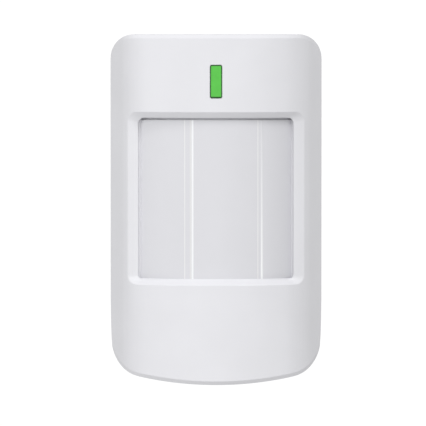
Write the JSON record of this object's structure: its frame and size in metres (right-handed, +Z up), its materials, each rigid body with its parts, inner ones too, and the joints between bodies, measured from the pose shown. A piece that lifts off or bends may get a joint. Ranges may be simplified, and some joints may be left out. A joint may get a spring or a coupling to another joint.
{
  "type": "motion sensor",
  "caption": "Wall-mounted infrared motion sensor: curved lens window and green indicator in a white cover that swings off its housing, with the electronics inside.",
  "frame": {"origin": "centre of the housing's flat back face, which rests on the wall", "axes": "+X to the right seen from the front, the lens faces -Y, +Z up"},
  "size_m": [0.0608, 0.044, 0.1],
  "materials": {
    "case_white": "satin",
    "lens_white": "glossy, milky",
    "inner_white": "matte",
    "green_light_pipe": "glossy, tinted",
    "black_plastic": "matte",
    "red_plastic": "glossy",
    "blue_plastic": "matte",
    "board_green": "solder mask",
    "steel": "plated",
    "tin": "tinned",
    "aluminium": "satin",
    "copper": "bright",
    "silicon_filter": "polished",
    "led_resin": "clear tinted",
    "battery_wrapper": "shrink sleeve"
  },
  "bodies": {
    "housing": {"rear_housing": "case_white", "circuit_board": "board_green", "board_screw_left": "steel", "board_screw_right": "steel", "sensor_spacer": "inner_white", "sensor_can": "tin", "sensor_window": "silicon_filter", "indicator_led": "led_resin", "tamper_switch": "black_plastic", "tamper_spring": "steel", "test_switch": "black_plastic", "jumper_header": "black_plastic", "battery": "battery_wrapper", "battery_holder": "black_plastic", "battery_contact_positive": "steel", "battery_contact_negative": "steel", "radio_board": "board_green", "radio_shield": "tin", "antenna": "copper", "controller_chip": "black_plastic", "amplifier_chip": "black_plastic", "capacitor": "aluminium", "crystal": "tin"},
    "cover": {"front_cover": "case_white", "lens": "lens_white", "lens_clamp": "inner_white", "light_pipe": "green_light_pipe"},
    "screw_ring": {"screw_ring": "black_plastic"},
    "cover_screw": {"cover_screw": "steel"},
    "tamper_plunger": {"tamper_plunger": "red_plastic"},
    "test_button": {"test_button": "inner_white"},
    "jumper_cap": {"jumper_cap": "blue_plastic"}
  },
  "joints": [
    {"name": "cover_open", "type": "hinge", "parent": "housing", "child": "cover", "pos_m": [0, -0.01415, 0.05], "axis": [-1, 0, 0], "range_deg": [0, 60]},
    {"name": "screw_travel", "type": "slide", "parent": "cover", "child": "screw_ring", "axis": [0, 0, -1], "range_m": [0, 0.00187]},
    {"name": "screw_turn", "type": "hinge", "parent": "screw_ring", "child": "cover_screw", "pos_m": [0, -0.022, -0.0494], "axis": [0, 0, -1], "range_deg": [0, 675]},
    {"name": "tamper_release", "type": "slide", "parent": "housing", "child": "tamper_plunger", "axis": [0, -1, 0], "range_m": [0, 0.0025], "deforming": ["tamper_spring"]},
    {"name": "test_press", "type": "slide", "parent": "housing", "child": "test_button", "axis": [0, 1, 0], "range_m": [0, 0.00025], "stiffness_N_per_m": 2000},
    {"name": "jumper_pull", "type": "slide", "parent": "housing", "child": "jumper_cap", "axis": [0, -1, 0], "range_m": [0, 0.0055]}
  ],
  "couplings": [
    {"joint": "tamper_release", "follows": "cover_open", "m_per_rad": 0.00238},
    {"joint": "screw_turn", "follows": "screw_travel", "rad_per_m": 6283.2}
  ]
}
